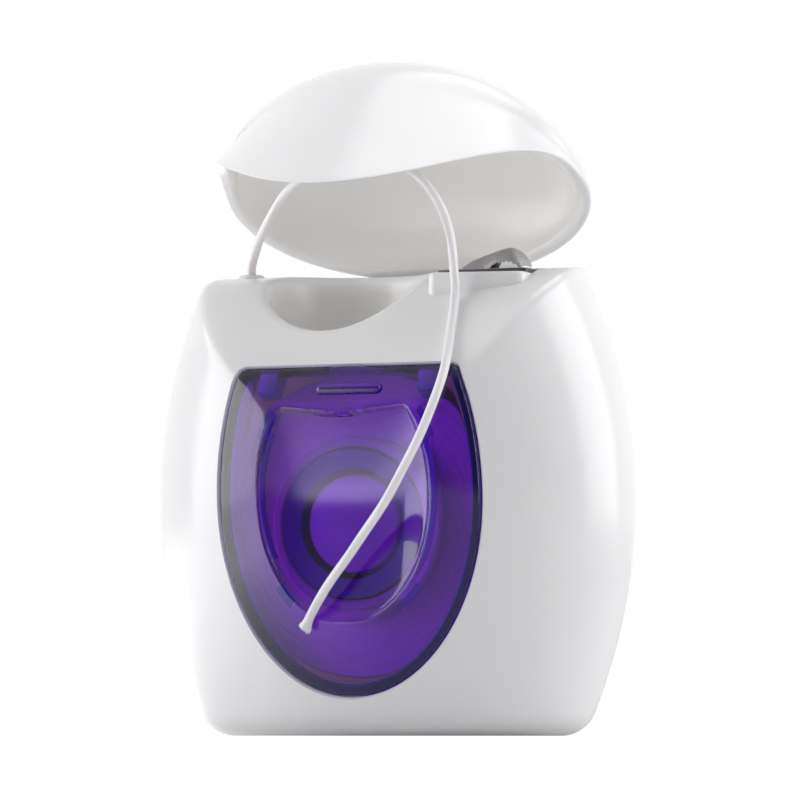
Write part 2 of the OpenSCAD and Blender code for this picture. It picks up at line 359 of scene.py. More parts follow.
def waxedNylon(name, length):
    # waxed nylon multifilament: lustrous white yarn whose filaments run along it with a slow twist,
    # soft edged, with fine dark lines where bundles part
    material, tree = newMaterial(name)
    place = addNode(tree, "ShaderNodeUVMap").outputs["UV"]
    turn = addNode(tree, "ShaderNodeSeparateXYZ", links={"Vector": place}).outputs
    w = waxedYarn
    shift = addNode(tree, "ShaderNodeMath", {"operation": "MULTIPLY_ADD"}, {1: w["twist"] * length / 10},
                    {0: turn["Y"], 2: turn["X"]})
    across = addNode(tree, "ShaderNodeMath", {"operation": "MULTIPLY"}, {1: w["streaks"]},
                     {0: shift.outputs["Value"]})
    along = addNode(tree, "ShaderNodeMath", {"operation": "MULTIPLY"}, {1: length / w["streakRun"]},
                    {0: turn["Y"]})
    joined = addNode(tree, "ShaderNodeCombineXYZ",
                     links={"X": across.outputs["Value"], "Y": along.outputs["Value"]})
    fibre = noiseOf(tree, joined.outputs["Vector"], 1.0, 3, 0.65)
    shader = addNode(tree, "ShaderNodeBsdfPrincipled",
                     inputs={"IOR": 1.45, "Roughness": 0.42, "Sheen Weight": 0.15, "Sheen Roughness": 0.4,
                             "Subsurface Weight": 0.2, "Subsurface Scale": 0.0006},
                     links={"Base Color": rampOf(tree, fibre, [(0.25, w["shade"]), (0.55, w["light"])]),
                            "Normal": bumpOf(tree, fibre, 0.5, 0.00006)})
    setOutput(tree, shader.outputs["BSDF"])
    return material


def stainlessStrip(name, dark, light):
    # stainless strip, rolled and stamped: satin grey, with fine rolling lines along X that differ in gloss
    material, tree = newMaterial(name)
    stretch = addNode(tree, "ShaderNodeMapping", inputs={"Scale": (300, 9000, 9000)},
                      links={"Vector": objectPlace(tree)})
    line = noiseOf(tree, stretch.outputs["Vector"], 1.0, 3)
    shader = addNode(tree, "ShaderNodeBsdfPrincipled", inputs={"Metallic": 1.0},
                     links={"Base Color": rampOf(tree, line, [(0.3, dark), (0.7, light)]),
                            "Roughness": rangeOf(tree, line, 0.4, 0.6),
                            "Normal": bumpOf(tree, line, 0.3, 0.00002)})
    setOutput(tree, shader.outputs["BSDF"])
    return material


satinSteel = stainlessStrip("stainlessStrip", "#9c9a9c", "#b4b2b4")
paintedShadeSteel = stainlessStrip("paintedShadeStainless", "#4e4c50", "#68666a")
print("materials: made")


# Floss. The routes run from the hole to the free end, and from the winding up to the hole
flossSize = {"diameter": 0.9, "sides": 20, "lobes": 3, "lobeDepth": 0.05, "flareLength": 1.1, "flare": 0.5}
freeRoute = [(-16.2, 0, 46.3), (-16.1, -0.3, 47.4), (-15.3, -1.1, 48.8), (-14.2, -2.2, 50.3),
             (-13, -3.2, 51.6), (-11.9, -4.1, 52.7), (-10.4, -5.2, 54), (-8.9, -6.1, 54.9),
             (-6.7, -7.2, 56), (-4.1, -8.4, 56.7), (-0.8, -9.5, 57), (2, -10.3, 56.7),
             (4.5, -10.9, 55.9), (6.5, -11.3, 54.6), (7.8, -11.3, 53.2), (8.7, -11, 51.6),
             (9.2, -10.5, 49.9), (9.4, -9.8, 47.9), (9.5, -9.4, 45.5), (9.7, -9.6, 43.3),
             (10.1, -11.6, 39.9), (10.5, -14.1, 36.3), (10.2, -15.2, 33.7), (9.3, -15.8, 30.9),
             (7.5, -16.1, 27), (4.8, -16.3, 22.3), (1.9, -16.2, 18.4), (-1.1, -15.9, 14.6),
             (-3, -15.4, 12), (-3.9, -15, 10.5)]
feedRoute = [(-15.7, -1, 20.7), (-15.9, -1, 24), (-16, -0.9, 27), (-16.1, -0.7, 31), (-16.2, -0.4, 35),
             (-16.2, -0.1, 39), (-16.2, 0, 42), (-16.2, 0, 45), (-16.2, 0, 46.3)]


def yarnTube(line, size, flared=False):
    # sweeps a slightly lobed section along the line; the cut end opens out
    ways = np.gradient(line, axis=0)
    ways /= np.linalg.norm(ways, axis=1)[:, None]
    side = np.cross(ways[0], (0.3, 1, 0.1))
    along = pathLengths(line)
    columns = [[] for _ in range(size["sides"])]
    for point, way, at in zip(line, ways, along):
        side = side - way * side.dot(way)
        side /= np.linalg.norm(side)
        lift = np.cross(way, side)
        opened = max(0, at - (along[-1] - size["flareLength"])) / size["flareLength"] if flared else 0
        for k, column in enumerate(columns):
            a = math.tau * k / size["sides"]
            radius = size["diameter"] / 2 * (1 + size["lobeDepth"] * math.cos(size["lobes"] * a + at * 0.9))
            radius *= 1 + size["flare"] * opened ** 2
            column.append(point + radius * (side * math.cos(a) + lift * math.sin(a)))
    bm = wrapColumns(columns)
    bmesh.ops.holes_fill(bm, edges=[e for e in bm.edges if e.is_boundary], sides=0)
    return bm, side, lift


# Loose filaments at the cut end, fanned out a little
filament = {"diameter": 0.11, "sides": 6, "lobes": 0, "lobeDepth": 0, "flareLength": 1, "flare": 0}
cutEnd = {"filaments": 26, "turn": 2.4, "sunk": 0.5, "spread": 0.5, "reach": 0.62, "uneven": 0.3, "fan": 0.2}


def makeStrand():
    line = smoothCurve(freeRoute, 7)
    bm, side, lift = yarnTube(line, flossSize, flared=True)
    end, way = line[-1], line[-1] - line[-2]
    way = way / np.linalg.norm(way)
    c, steps = cutEnd, np.linspace(0, 1, 5)
    for k in range(c["filaments"]):
        a, out = c["turn"] * k, math.sqrt((k + 0.5) / c["filaments"])
        spread = side * math.cos(a) + lift * math.sin(a)
        start = end - way * c["sunk"] + spread * out * c["spread"]
        reach = c["reach"] + c["uneven"] * out * math.cos(a + 0.6)
        stub = np.array([start + way * reach * s + spread * out * c["fan"] * s * s for s in steps])
        hair, _, _ = yarnTube(stub, filament)
        addInto(bm, hair)
    length = pathLengths(line)[-1]
    strand = makePiece("flossStrand", bm, [waxedNylon("waxedNylonStrand", length)], sharp=60)
    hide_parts("floss_strand")
    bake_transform(strand)
    return length


strandLength = makeStrand()
print("floss strand: %.1f mm long" % strandLength)


# Outer form of case and lid. Insets give the inner walls
caseForm = {"bellyWidth": 50, "shoulderWidth": 39.2, "deckHeight": 46.3, "domeHeight": 8.7,
            "frontDepth": 15.4, "rearDepth": 10.5, "backFlat": 9, "frontTaper": 3.6, "baseRadius": 2.2,
            "bellyLine": -0.8, "apexLine": -4, "rollStart": 5.8, "rollDrop": 0.78, "rollPower": 3.9,
            "wall": 1.3, "creaseRadius": 0.9, "backCreaseRadius": 0.5, "columns": 192}


def domeShare(share, rise, fall):
    return max(0, 1 - share ** rise) ** (1 / fall)


def outlineAt(height, inset):
    # half width, middle, front and back of the outside at a height
    f = caseForm
    deck, middle = f["deckHeight"], f["bellyLine"]
    if height <= deck:
        above, r = height - inset, f["baseRadius"]
        fillet = 0 if above >= r else r - math.sqrt(max(0, r * r - (r - above) ** 2))
        drawnIn = (f["bellyWidth"] - f["shoulderWidth"]) / 2 * ((2 * height - deck) / deck) ** 2
        belly = f["bellyWidth"] / 2 - drawnIn
        front = middle - f["frontDepth"] + f["frontTaper"] * (max(0, 30 - height) / 27) ** 2 + inset + fillet
        return belly - inset - fillet, middle, front, middle + f["rearDepth"] - inset - fillet
    share = min(1, (height - deck) / (f["domeHeight"] - inset))
    apex = f["apexLine"]
    half = (f["shoulderWidth"] / 2 - inset) * domeShare(share, 2, 1.6)
    front = apex - (apex - middle + f["frontDepth"] - inset) * domeShare(share, 2.6, 2.3)
    back = apex + (middle - apex + f["rearDepth"] - inset) * domeShare(share, 1.8, 1.8)
    return half, middle + (apex - middle) * math.sqrt(share), front, back


def wallPoint(height, inset, angle):
    half, middle, front, back = outlineAt(height, inset)
    reach = (front - middle) if math.cos(angle) > 0 else (middle - back)
    depth = min(middle + reach * math.cos(angle), caseForm["backFlat"] - inset)
    return np.array([half * math.sin(angle), depth, height])


def deckHeight(depth, lowered=0.0):
    # height of the rolled deck; lowered is measured square to it
    f = caseForm
    run = max(0, f["rollStart"] - depth) / 10
    slope = f["rollDrop"] * f["rollPower"] / 10 * run ** (f["rollPower"] - 1)
    return f["deckHeight"] - f["rollDrop"] * run ** f["rollPower"] - lowered * math.sqrt(1 + slope * slope)


def creaseHeight(angle, inset, lowered):
    low, high = 18.0, caseForm["deckHeight"] - lowered
    for _ in range(40):
        middle = (low + high) / 2
        if middle < deckHeight(wallPoint(middle, inset, angle)[1], lowered):
            low = middle
        else:
            high = middle
    return (low + high) / 2


# Thumb scoop, pressed into the deck as a bowl with a flat floor
scoop = {"centre": (-3.7, -4.5), "upright": 44.7, "radius": 8.0, "floor": 38.6, "rimRadius": 1.1}


def bowlHeight(distance, inset):
    r = scoop["radius"] + inset
    if distance >= r:
        return 1e3
    return max(scoop["floor"] - inset, scoop["upright"] - math.sqrt(r * r - distance * distance))


def deckAndBowl(crease, inset):
    # from the crease over the deck to the scoop's rim, then down the bowl to its middle
    centre = np.array(scoop["centre"])
    away = crease[:2] - centre
    full = np.linalg.norm(away)
    away = away / full
    r = scoop["radius"] + inset

    def deckOver(d):
        return deckHeight((centre + away * d)[1], inset)

    rim = min(r, full * 0.97)
    if deckOver(rim) < bowlHeight(rim - 1e-6, inset):
        low, high = 0.0, rim
        for _ in range(40):
            middle = (low + high) / 2
            low, high = (middle, high) if deckOver(middle) > bowlHeight(middle, inset) else (low, middle)
        rim = low
    deck = [np.array([*(centre + away * d), deckOver(d)]) for d in np.linspace(full, rim, 26)]
    deck[0] = crease
    bowl = [deck[-1]]
    steepest = math.asin((scoop["upright"] - scoop["floor"] + inset) / r)
    for a in np.linspace(math.acos(min(1, rim / r)), steepest, 16):
        bowl.append(np.array([*(centre + away * r * math.cos(a)), scoop["upright"] - r * math.sin(a)]))
    for d in np.linspace(bowl[-1][:2].dot(away) - centre.dot(away), 0, 6)[1:]:
        bowl.append(np.array([*(centre + away * d), scoop["floor"] - inset]))
    return np.array(deck), np.array(bowl)


def caseSkin(inset):
    f = caseForm
    quarter = [1 - math.cos(a) for a in np.linspace(0, math.pi / 2, 9)]
    columns = []
    for k in range(f["columns"]):
        angle = math.tau * k / f["columns"]
        crease = wallPoint(creaseHeight(angle, inset, inset), inset, angle)
        foot = wallPoint(inset, inset, angle)
        base = np.array([[0, f["bellyLine"], inset], foot])
        turn = np.array([wallPoint(inset + f["baseRadius"] * q, inset, angle) for q in quarter])
        heights = np.linspace(inset + f["baseRadius"], crease[2], 40)
        rise = np.array([wallPoint(z, inset, angle) for z in heights])
        rise[-1] = crease
        deck, bowl = deckAndBowl(crease, inset)
        facing = 0.5 + 0.5 * math.cos(angle)
        radius = f["backCreaseRadius"] + (f["creaseRadius"] - f["backCreaseRadius"]) * min(1, facing * 2)
        radii = [0, 0, max(0.1, radius - inset), scoop["rimRadius"]]
        columns.append(roundedPath([base, turn, rise, deck, bowl], radii, [5, 8, 34, 22, 16], 7))
    return wrapColumns(columns)


# Window in the front, an oval cut straight across its top
window = {"halfWidth": 13.7, "centre": 23.3, "low": 3.9, "top": 35.9, "rise": 22.5, "corner": 0.5,
          "columns": 176, "fit": 0.1, "lip": 0.3, "cutFront": -22, "cutBack": -7.6, "cutMiddle": 22}


def windowEdge(grow):
    # evenly spaced points round the window as (x, z), from its lowest point towards +X
    w = window
    drop, last = w["centre"] - w["low"], math.asin((w["top"] - w["centre"]) / w["rise"])
    lower = [(w["halfWidth"] * math.sin(a), w["centre"] - drop * math.cos(a))
             for a in np.linspace(0, math.pi / 2, 30)]
    upper = [(w["halfWidth"] * math.cos(a), w["centre"] + w["rise"] * math.sin(a))
             for a in np.linspace(0, last, 20)[1:]]
    side = np.array(lower + upper)
    top = np.array([side[-1], (0, w["top"])])
    half = roundedPath([side, top], [w["corner"]], [60, 20], 8)
    half = resample(half, np.linspace(0, pathLengths(half)[-1], w["columns"] // 2 + 1))
    ring = np.vstack([half, [(-x, z) for x, z in half[-2:0:-1]]])
    ways = np.roll(ring, -1, 0) - np.roll(ring, 1, 0)
    ways /= np.linalg.norm(ways, axis=1)[:, None]
    return ring + grow * np.stack([ways[:, 1], -ways[:, 0]], 1)


def smoothMax(a, b, width):
    gap = max(0, width - abs(a - b)) / width
    return max(a, b) + gap * gap * width / 4


def frontDepthAt(x, z):
    # how deep the outside lies behind (x, z) seen from the front: wall and deck with their soft crease
    half, middle, front, _ = outlineAt(min(z, caseForm["deckHeight"]), 0)
    wall = middle - (middle - front) * math.sqrt(max(0, 1 - (x / half) ** 2))
    drop = max(0, caseForm["deckHeight"] - z) / caseForm["rollDrop"]
    deck = caseForm["rollStart"] - 10 * drop ** (1 / caseForm["rollPower"])
    return smoothMax(wall, deck, 0.5)


def windowCutter():
    # follows the surface, so that the edge of the opening is rounded by the same amount all round
    w = window
    inner, lip = windowEdge(w["fit"]), windowEdge(w["fit"] + w["lip"])
    columns = []
    for (x, z), (lx, lz) in zip(inner, lip):
        depth = frontDepthAt(lx, lz)
        stops = [(0, w["cutFront"], w["cutMiddle"]), (lx, w["cutFront"], lz), (lx, depth - 0.02, lz),
                 (x, depth + w["lip"], z), (x, w["cutBack"], z), (0, w["cutBack"], w["cutMiddle"])]
        runs = [np.array(pair, float) for pair in zip(stops, stops[1:])]
        columns.append(roundedPath(runs, [0, 0.05, 0.25, 0], [2, 2, 2, 6, 2], 4))
    return wrapColumns(columns)


# The axis that the spool turns on, which the hub, post and stop share
spoolCentre, depthWay = (0, 0, 20.7), (0, 1, 0)
flossHole = {"at": (-16.2, 0), "radius": 0.8, "collar": 1.25, "collarTop": 46.5, "collarRoot": 45.2,
             "flareTop": 46.2, "flare": 0.2, "cut": (40, 50)}
cutterSeat = {"corners": [(6.2, -8.7), (15.9, -7.2), (15.9, 1), (6.2, 1)], "low": 41.5, "top": 45.4,
              "back": -1.0, "cutFront": -9, "cutTop": 48}
spoolStop = {"inner": 7.5, "outer": 8.7, "front": 6.8, "rear": 8.4}
hubPost = {"radius": 4.9, "front": -11.7, "rear": 8.4}


def caseDetails():
    # moulded on: the collar round the hole, the block under the cutter, and the spool's stop and post
    h, seat, stop, post = flossHole, cutterSeat, spoolStop, hubPost
    r, c, top = h["radius"], h["collar"], h["collarTop"]
    collar = [(r, h["collarRoot"]), (r, top - 0.1), (r + 0.1, top), (c - 0.15, top), (c - 0.04, top - 0.05),
              (c, top - 0.15), (c + h["flare"], h["flareTop"]), (c + h["flare"], h["collarRoot"])]
    bm = spinProfile(collar, (*h["at"], 0), (0, 0, 1), 40)
    addInto(bm, roundedBlock(seat["corners"], seat["low"], seat["top"], 1.0, 0.3))
    ring = [(stop["inner"], stop["front"]), (stop["outer"], stop["front"]), (stop["outer"], stop["rear"]),
            (stop["inner"], stop["rear"])]
    addInto(bm, spinProfile(ring, spoolCentre, depthWay, 64))
    r, front = post["radius"], post["front"]
    pin = [(0, front), (r - 0.5, front), (r - 0.15, front + 0.15), (r, front + 0.5), (r, post["rear"]),
           (0, post["rear"])]
    addInto(bm, spinProfile(pin, spoolCentre, depthWay, 64))
    toMetres(bm)
    return bm


def makeCase():
    # the inner wall and the scoop's bowl have the material of the inner faces, whose warmer white is painted
    # glow
    bm, inner = caseSkin(0), caseSkin(caseForm["wall"])
    for face in bm.faces:
        x, y, z = face.calc_center_median()
        inScoop = math.hypot(x - scoop["centre"][0], y - scoop["centre"][1]) < scoop["radius"] and z > 30
        face.material_index = 1 if inScoop and z < deckHeight(y) - 0.3 else 0
    for face in inner.faces:
        face.material_index = 1
    addInto(bm, inner, flip=True)
    case = makePiece("caseShell", bm, [whitePolypropylene, paintedGlowPolypropylene])
    cutOrJoin(case, windowCutter(), "DIFFERENCE")
    seat = cutterSeat
    (left, _), (right, _) = seat["corners"][:2]
    plan = [(left, seat["cutFront"]), (right, seat["cutFront"]), (right, seat["back"]), (left, seat["back"])]
    cutOrJoin(case, roundedBlock(plan, seat["top"], seat["cutTop"], 0.8, 0.1), "DIFFERENCE")
    low, high = flossHole["cut"]
    hole = [(0, low), (flossHole["radius"], low), (flossHole["radius"], high), (0, high)]
    cutOrJoin(case, spinProfile(hole, (*flossHole["at"], 0), (0, 0, 1), 32), "DIFFERENCE")
    extra = caseDetails()
    addInto(extra, bmeshOf(case))
    extra.to_mesh(case.data)
    extra.free()
    case.data.set_sharp_from_angle(angle=math.radians(35))
    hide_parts("case_body")
    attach(case, "case")
    return case


case = makeCase()
print("case:", len(case.data.polygons), "faces")


# Bead on the cover, and the groove inside the lip of the lid that snaps over it
catchForm = {"centre": (0.55, -14.6, 33.7), "halfLength": 2.9, "radius": 0.57, "clearance": 0.15}


def catchBead(grow):
    bead = bmesh.new()
    bmesh.ops.create_uvsphere(bead, u_segments=24, v_segments=16, radius=catchForm["radius"] + grow)
    bmesh.ops.rotate(bead, verts=bead.verts, cent=(0, 0, 0), matrix=Matrix.Rotation(math.pi / 2, 3, "Y"))
    for v in bead.verts:
        v.co.x += catchForm["halfLength"] if v.co.x > 0 else -catchForm["halfLength"]
    bmesh.ops.translate(bead, verts=bead.verts, vec=catchForm["centre"])
    return bead


# Lid, shaped shut and then turned open about its hinge
lidForm = {"openAngle": 46, "hinge": (8.9, 46.6), "hollow": (-2, 47.5), "rimGap": 0.25, "rimRadius": 0.5,
           "columns": 192}


def openLid(bm):
    turn = Matrix.Rotation(math.radians(-lidForm["openAngle"]), 3, "X")
    bmesh.ops.rotate(bm, verts=bm.verts, cent=(0, *lidForm["hinge"]), matrix=turn)


def lidRun(angle, inset):
    # from the rim up over the dome to its top
    rim = creaseHeight(angle, inset, -lidForm["rimGap"])
    deck, dome = caseForm["deckHeight"], caseForm["domeHeight"] - inset
    heights = list(np.linspace(rim, deck, 14)[:-1]) if rim < deck else []
    first = 0 if rim < deck else math.asin(min(1, (rim - deck) / dome))
    heights += [deck + dome * math.sin(a) for a in np.linspace(first, math.pi / 2, 44)]
    return np.array([wallPoint(z, inset, angle) for z in heights])


def makeLid():
    f = lidForm
    columns = []
    for k in range(f["columns"]):
        angle = math.tau * k / f["columns"]
        outer, inner = lidRun(angle, 0), lidRun(angle, caseForm["wall"])
        rim = np.array([inner[0], outer[0]])
        columns.append(roundedPath([inner[::-1], rim, outer], [f["rimRadius"]] * 2, [40, 1, 40], 6))
    bm = wrapColumns(columns)
    middle = Vector((0, f["hollow"][0], f["hollow"][1]))
    # the inner faces take the warmer white, a painted glow of light through the wall
    for face in bm.faces:
        face.material_index = 1 if face.normal.dot(face.calc_center_median() - middle) < 0 else 0
    openLid(bm)
    lid = makePiece("lidShell", bm, [whitePolypropylene, paintedGlowPolypropylene], sharp=50)
    groove = catchBead(catchForm["clearance"])
    openLid(groove)
    cutOrJoin(lid, groove, "DIFFERENCE")
    lid.data.set_sharp_from_angle(angle=math.radians(50))
    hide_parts("lid")
    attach(lid, "lid")
    return lid


lid = makeLid()
print("lid:", len(lid.data.polygons), "faces")


# Thin web that joins case and lid along the back. Foot and corner are (depth, height)
strapForm = {"width": 14, "thickness": 0.32, "onCase": 0.8, "onLid": 0.8, "foot": (8.98, 46.4),
             "corner": (8.94, 46.5)}


def makeStrap():
    f = strapForm
    a = math.radians(lidForm["openAngle"])
    up = np.array([0, math.sin(a), math.cos(a)])
    foot, corner = np.array([0, f["foot"][0], f["foot"][1] - f["onCase"]]), np.array([0, *f["corner"]])
    runs = [np.array([foot, corner]), np.array([corner, corner + up * f["onLid"]])]
    line = roundedPath(runs, [0.5], [4, 4], 8)
    bm = bmesh.new()
    bmesh.ops.create_grid(bm, x_segments=24, y_segments=len(line) - 1, size=0.5)
    for v in bm.verts:
        j = round((v.co.y + 0.5) * (len(line) - 1))
        v.co = line[j] + np.array([v.co.x * f["width"], 0, 0])
    bmesh.ops.solidify(bm, geom=list(bm.faces), thickness=f["thickness"])
    bmesh.ops.recalc_face_normals(bm, faces=bm.faces)
    strap = makePiece("hingeStrap", bm, [whitePolypropylene], sharp=60)
    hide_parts("living_hinge")
    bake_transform(strap)


makeStrap()
print("hinge: made")


# Tinted cover. The dish floor is given as (depth, height) from its top down
cover = {"thickness": 1.2, "skirt": 0.9, "skirtBack": -10.2, "dishHalfWidth": 9.1, "dishHalfHeight": 12.7,
         "dishCentre": 23.5, "draft": 0.35, "edge": 0.25, "bow": 1.5, "bowPower": 3.5, "ledgeArc": 2.8,
         "ledgeHalfWidth": 10.5, "ledgeFrom": 22, "ledgeOver": 9,
         "floor": [(-20, 33.2), (-16.9, 31.7), (-15, 31), (-14.2, 29.3), (-13.7, 26.6), (-13.4, 23.5),
                   (-13.3, 20), (-13.5, 16.5), (-13.9, 13.5), (-14.5, 11.4), (-15.5, 10), (-20, 8)]}
dishFloor = smoothCurve(cover["floor"], 24)[::-1]


def floorDepth(z):
    return float(np.interp(z, dishFloor[:, 1], dishFloor[:, 0]))


def onDish(x, z, grow):
    # where the ray from the dish's middle through (x, z) crosses the dish's edge
    a, b = cover["dishHalfWidth"] + grow, cover["dishHalfHeight"] + grow
    dz = z - cover["dishCentre"]
    reach = 1 / math.sqrt((x / a) ** 2 + (dz / b) ** 2)
    return x * reach, cover["dishCentre"] + dz * reach


def inDish(x, z, behind=0.0):
    # the floor is spooned: its sides come forward, and the ledge above it is lowest in the middle
    c = cover
    upper = min(1, max(0, (z - c["ledgeFrom"]) / c["ledgeOver"]))
    raised = c["ledgeArc"] * (x / c["ledgeHalfWidth"]) ** 2 * upper
    floor = floorDepth(z - raised) - c["bow"] * (abs(x) / c["dishHalfWidth"]) ** c["bowPower"] + 0.1
    return (x, smoothMax(frontDepthAt(x, z), floor, 0.3) + behind, z)


def coverColumn(rim, inner):
    # one run from the middle of the dish over its edge to the rim, round the skirt and back behind it all
    c, t, mid = cover, cover["thickness"], cover["dishCentre"]
    (x, z), (ix, iz) = rim, inner
    rimX, rimZ = onDish(x, z, 0)
    footX, footZ = onDish(x, z, -c["draft"])
    backX, backZ = onDish(x, z, t - 0.2)
    shares = np.linspace(0, 1, 48)

    def between(x0, z0, x1, z1, behind=0.0):
        places = [(x0 + (x1 - x0) * s, z0 + (z1 - z0) * s) for s in shares]
        return np.array([(px, frontDepthAt(px, pz) + behind, pz) for px, pz in places])

    floor = np.array([inDish(footX * s, mid + (footZ - mid) * s) for s in shares])
    backFloor = np.array([inDish(backX * s, mid + (backZ - mid) * s, t) for s in shares[::-1]])
    band, backBand = between(rimX, rimZ, x, z), between(ix, iz, backX, backZ, t)
    low, innerLow = (x, c["skirtBack"], z), (ix, c["skirtBack"], iz)
    runs = [floor, np.array([floor[-1], band[0]]), band, np.array([band[-1], low]), np.array([low, innerLow]),
            np.array([innerLow, backBand[0]]), backBand, np.array([backBand[-1], backFloor[0]]), backFloor]
    return roundedPath(runs, [0.5, 0.4, c["edge"], 0.1, 0.1, 0.5, 0.5, 0.5], [34, 3, 8, 3, 1, 3, 6, 2, 16], 5)


def coverSkin():
    c, t = cover, cover["thickness"]
    bm = wrapColumns([coverColumn(rim, inner) for rim, inner in zip(windowEdge(0), windowEdge(-c["skirt"]))])
    for face in bm.faces:
        # the skirt round the edge takes the opaque deep violet, a painted shade for its dark look seen along
        # the wall
        x, y, z = face.calc_center_median()
        outside = (x / c["dishHalfWidth"]) ** 2 + ((z - c["dishCentre"]) / c["dishHalfHeight"]) ** 2 > 1
        behind = y - frontDepthAt(x, z)
        sideways = behind > 0.3 and abs(face.normal.y) < 0.5
        face.material_index = 1 if outside and (behind > t + 0.15 or sideways) else 0
    return bm


hub = {"outer": 7.4, "inner": 5.5, "front": -12.0, "back": 6.8, "chamfer": 0.3}
# Snap lugs at both ends of the cover's top, with their side view as (depth, height)
snapLug = {"offset": 8.4, "width": 2, "edge": 0.12,
           "side": [(-13.6, 33.4), (-12.2, 32.6), (-10.6, 35.2), (-10.6, 37), (-11.3, 37), (-12.2, 35.7),
                    (-13.2, 35.3)]}


def makeCover():
    piece = makePiece("windowCover", coverSkin(), [violetPolystyrene, paintedShadeViolet], sharp=50)
    h, b, lugForm = hub, hub["chamfer"], snapLug
    outline = [(h["inner"], h["front"]), (h["outer"], h["front"]), (h["outer"], h["back"] - b),
               (h["outer"] - b, h["back"]), (h["inner"] + b, h["back"]), (h["inner"], h["back"] - b)]
    tube = spinProfile(outline, spoolCentre, depthWay, 96)
    cutOrJoin(piece, catchBead(0), "UNION")
    for x in (-lugForm["offset"], lugForm["offset"]):
        lug = bmesh.new()
        lug.faces.new([lug.verts.new((x - lugForm["width"] / 2, y, z)) for y, z in lugForm["side"]])
        extrudeAll(lug, (lugForm["width"], 0, 0))
        bmesh.ops.bevel(lug, geom=list(lug.edges), offset=lugForm["edge"], segments=2, profile=0.5,
                        affect="EDGES", material=-1)
        addInto(tube, lug)
    # tube and lugs join the cover as they are, in the opaque deep violet: painted shade for their thick walls
    toMetres(tube)
    for f in tube.faces:
        f.material_index = 1
    addInto(tube, bmeshOf(piece))
    tube.to_mesh(piece.data)
    tube.free()
    piece.data.set_sharp_from_angle(angle=math.radians(45))
    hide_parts("window_cover")
    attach(piece, "case")
    return piece


windowCover = makeCover()
print("window cover:", len(windowCover.data.polygons), "faces")


spool = {"coreOuter": 8.7, "coreInner": 7.6, "coreFront": -11.8, "coreBack": 6.6, "chamfer": 0.2,
         "woundOuter": 15.0, "woundFront": -9.3, "woundBack": 5.3, "pitch": 0.9, "faceRidge": 0.06,
         "rimRidge": 0.16, "feedLength": 26}


def woundNylon(name):
    # the same yarn wound on the spool: turns 0.9 mm apart, with streaks that follow them
    material, tree = newMaterial(name)
    centred = addNode(tree, "ShaderNodeMapping", inputs={"Location": (0, 0, -spoolCentre[2] * mm)},
                      links={"Vector": objectPlace(tree)})
    parts = addNode(tree, "ShaderNodeSeparateXYZ", links={"Vector": centred.outputs["Vector"]})
    x, y, z = (parts.outputs[k] for k in "XYZ")
    around = addNode(tree, "ShaderNodeMath", {"operation": "ARCTAN2"}, links={0: x, 1: z})
    flat = addNode(tree, "ShaderNodeCombineXYZ", links={"X": x, "Y": z})
    radius = addNode(tree, "ShaderNodeVectorMath", {"operation": "LENGTH"}, links={0: flat.outputs["Vector"]})
    mixed = addNode(tree, "ShaderNodeCombineXYZ",
                    links={"X": around.outputs["Value"], "Y": radius.outputs["Value"], "Z": y})
    streak = addNode(tree, "ShaderNodeMapping", inputs={"Scale": (6, 9000, 9000)},
                     links={"Vector": mixed.outputs["Vector"]})
    fibre = noiseOf(tree, streak.outputs["Vector"], 1.0, 2)
    stops = [(0.25, waxedYarn["shade"]), (0.6, waxedYarn["light"])]
    shader = addNode(tree, "ShaderNodeBsdfPrincipled",
                     inputs={"IOR": 1.45, "Roughness": 0.5, "Sheen Weight": 0.1},
                     links={"Base Color": rampOf(tree, fibre, stops),
                            "Normal": bumpOf(tree, fibre, 0.4, 0.00004)})
    setOutput(tree, shader.outputs["BSDF"])
    return material


def ridge(place, start):
    # 1 on top of a turn of the winding, 0 between two turns
    return 1 - abs(math.sin(math.pi * (place - start) / spool["pitch"]))


def makeSpool():
    s, b, step = spool, spool["chamfer"], spool["pitch"] / 4
    outline = [(s["coreInner"], s["coreFront"] + b), (s["coreInner"] + b, s["coreFront"]),
               (s["coreOuter"] - b, s["coreFront"]), (s["coreOuter"], s["coreFront"] + b),
               (s["coreOuter"], s["coreBack"] - b), (s["coreOuter"] - b, s["coreBack"]),
               (s["coreInner"] + b, s["coreBack"]), (s["coreInner"], s["coreBack"] - b)]
    corePiece = makePiece("spoolCore", spinProfile(outline, spoolCentre, depthWay, 96), [matteSpool])
    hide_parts("bobbin_core")
    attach(corePiece, "spool")
    # wound yarn: turns show as low ridges on its front and round its outside
    profile = [(r, s["woundFront"] + s["faceRidge"] * ridge(r, s["coreOuter"]))
               for r in np.arange(s["coreOuter"], s["woundOuter"] - 0.01, step)]
    profile += [(s["woundOuter"] - s["rimRidge"] * ridge(h, s["woundFront"]), h)
                for h in np.arange(s["woundFront"], s["woundBack"] + 0.01, step)]
    profile += [(s["woundOuter"] - 0.4, s["woundBack"]), (s["coreOuter"], s["woundBack"])]
    wound = spinProfile(profile, spoolCentre, depthWay, 128)
    woundPiece = makePiece("woundFloss", wound, [waxedNylonWound], sharp=75)
    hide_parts("floss_winding")
    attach(woundPiece, "spool")
    feed, _, _ = yarnTube(smoothCurve(feedRoute, 5), flossSize)
    feedPiece = makePiece("feedFloss", feed, [waxedNylon("waxedNylonFeed", s["feedLength"])], sharp=60)
    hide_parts("floss_feed_run")
    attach(feedPiece, "case")


waxedNylonWound = woundNylon("waxedNylonWound")
makeSpool()
print("spool: made")


# Cutter: a flat plate, and a hood pressed up from it with teeth under its open side
blade = {"low": (6.3, -6.0), "high": (15.8, -1.3), "base": 45.4, "steel": 0.42, "hoodFront": -4.9,
         "hoodBack": -1.9, "hoodSteel": 0.25, "openFrom": 10.8, "openOver": 1.2, "toothPitch": 0.5,
         "toothDepth": 0.2, "crest": [(8.0, 0.0), (8.6, 0.7), (9.4, 1.2), (11, 1.75), (13, 2.3), (13.8, 2.1),
                                      (14.5, 1.3), (14.8, 0.7)]}


